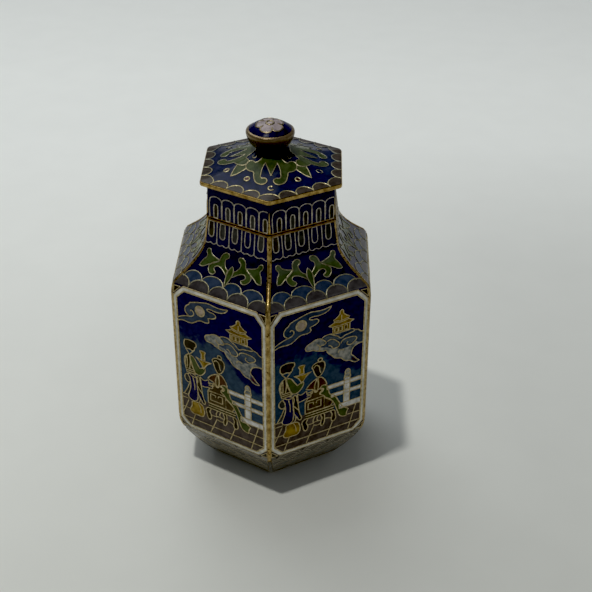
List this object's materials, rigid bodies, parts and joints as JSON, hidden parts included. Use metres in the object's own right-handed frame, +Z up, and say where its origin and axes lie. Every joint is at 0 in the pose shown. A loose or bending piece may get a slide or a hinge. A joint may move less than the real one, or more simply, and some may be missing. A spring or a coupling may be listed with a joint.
{
  "type": "cloisonne jar",
  "caption": "Six-sided enamelled metal jar with a lift-off lid and a turned knob, for holding small dry things or for show.",
  "frame": {"origin": "middle of the underside, on the surface that the foot ring rests on", "axes": "+Z up the jar's axis; one corner of the six-sided plan points to -Y, and two flat sides face +X and -X"},
  "size_m": [0.0524, 0.0602, 0.1014],
  "materials": {
    "enamel_cobalt": "glossy dark cobalt enamel over copper, finely pitted",
    "enamel_colours": "glossy enamels in many colours, ground flush with the wires",
    "brass": "polished brass, a little worn and toned"
  },
  "bodies": {
    "root": {"jar_body": "enamel_cobalt", "lid": "enamel_cobalt", "lid_knob": "brass"}
  },
  "joints": []
}
